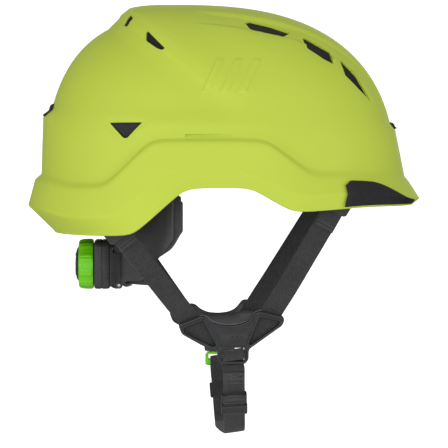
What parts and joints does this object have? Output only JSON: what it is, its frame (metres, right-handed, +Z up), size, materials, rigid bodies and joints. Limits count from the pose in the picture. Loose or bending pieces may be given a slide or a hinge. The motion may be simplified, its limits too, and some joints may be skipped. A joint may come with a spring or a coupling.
{
  "type": "arborist helmet",
  "caption": "Vented climbing and tree-care helmet with a flared rim, raised crown, ratchet nape cradle and four-point webbing harness closing under the chin.",
  "frame": {"origin": "centre of the wearer's head in plan, at the height of the shell's ear cut-outs", "axes": "+X towards the wearer's front, +Y towards the wearer's left, +Z up"},
  "size_m": [0.2999, 0.2218, 0.3261],
  "materials": {
    "shell": "satin moulded",
    "trim": "ribbed matt",
    "foam": "moulded bead foam",
    "plastic": "fine texture",
    "webbing": "woven polyester",
    "pad": "knit over foam",
    "green": "satin moulded",
    "steel": "plain"
  },
  "bodies": {
    "helmet": {"band_hanger_front_left": "plastic", "band_hanger_front_right": "plastic", "band_hanger_rear_left": "plastic", "band_hanger_rear_right": "plastic", "brim_guard_left": "trim", "brim_guard_right": "trim", "brow_pad": "pad", "buckle_socket": "plastic", "cradle_pin_left": "plastic", "cradle_pin_right": "plastic", "crown_pad_middle": "pad", "crown_pad_side_left": "pad", "crown_pad_side_right": "pad", "foam_liner": "foam", "front_anchor_left": "plastic", "front_anchor_right": "plastic", "front_lamp_hook": "trim", "front_strap_left": "webbing", "front_strap_right": "webbing", "headband": "plastic", "rear_anchor_left": "plastic", "rear_anchor_right": "plastic", "rear_lamp_hook": "trim", "rear_strap_left": "webbing", "rear_strap_right": "webbing", "shell": "shell", "side_vent_insert_left": "trim", "side_vent_insert_right": "trim", "strap_loop": "webbing", "yoke_cover_left": "plastic", "yoke_cover_right": "plastic", "yoke_left": "plastic", "yoke_right": "plastic"},
    "cradle": {"nape_cradle": "plastic", "side_pad_right": "pad", "side_pad_left": "pad", "nape_pad": "pad", "ratchet_housing": "plastic", "housing_screw_1": "steel", "housing_screw_2": "steel", "housing_screw_3": "steel", "housing_screw_4": "steel"},
    "knob": {"knob_grip": "green", "knob_cap": "trim", "pinion_shaft": "plastic", "click_spring": "steel"},
    "left_rack": {"rack_left": "plastic"},
    "right_rack": {"rack_right": "plastic"},
    "chin": {"chin_strap": "webbing", "strap_tail": "webbing", "buckle_plug": "green"},
    "slider": {"strap_slider": "plastic"},
    "lower_keeper": {"slider_keeper": "webbing"},
    "upper_keeper": {"tail_keeper": "webbing"}
  },
  "joints": [
    {"name": "cradle_tilt", "type": "hinge", "parent": "helmet", "child": "cradle", "pos_m": [-0.04992, 0, 0.014], "axis": [0, 1, 0], "range_deg": [-6, 9]},
    {"name": "knob_turn", "type": "hinge", "parent": "cradle", "child": "knob", "pos_m": [-0.1, 0, -0.059], "axis": [1, 0, 0], "range_deg": [-170, 170]},
    {"name": "left_rack_slide", "type": "hinge", "parent": "cradle", "child": "left_rack", "pos_m": [-0.0063, 0, -0.05], "axis": [0, 0, 1], "range_deg": [-14, 14]},
    {"name": "right_rack_slide", "type": "hinge", "parent": "cradle", "child": "right_rack", "pos_m": [-0.0063, 0, -0.068], "axis": [0, 0, 1], "range_deg": [-14, 14]},
    {"name": "chin_strap_swing", "type": "hinge", "parent": "helmet", "child": "chin", "pos_m": [0.005, -0.0575, -0.133], "axis": [-1, 0, 0], "range_deg": [0, 100]},
    {"name": "slider_slide", "type": "slide", "parent": "chin", "child": "slider", "axis": [0, -0.4811, 0.8767], "range_m": [0, 0.008]},
    {"name": "lower_keeper_slide", "type": "slide", "parent": "chin", "child": "lower_keeper", "axis": [0, 0.4811, -0.8767], "range_m": [0, 0.003]},
    {"name": "upper_keeper_slide", "type": "slide", "parent": "chin", "child": "upper_keeper", "axis": [0, 0.4811, 0.8767], "range_m": [-0.006, 0.003]}
  ],
  "couplings": [
    {"joint": "left_rack_slide", "follows": "knob_turn", "ratio": 0.081744},
    {"joint": "right_rack_slide", "follows": "knob_turn", "ratio": -0.081744}
  ]
}
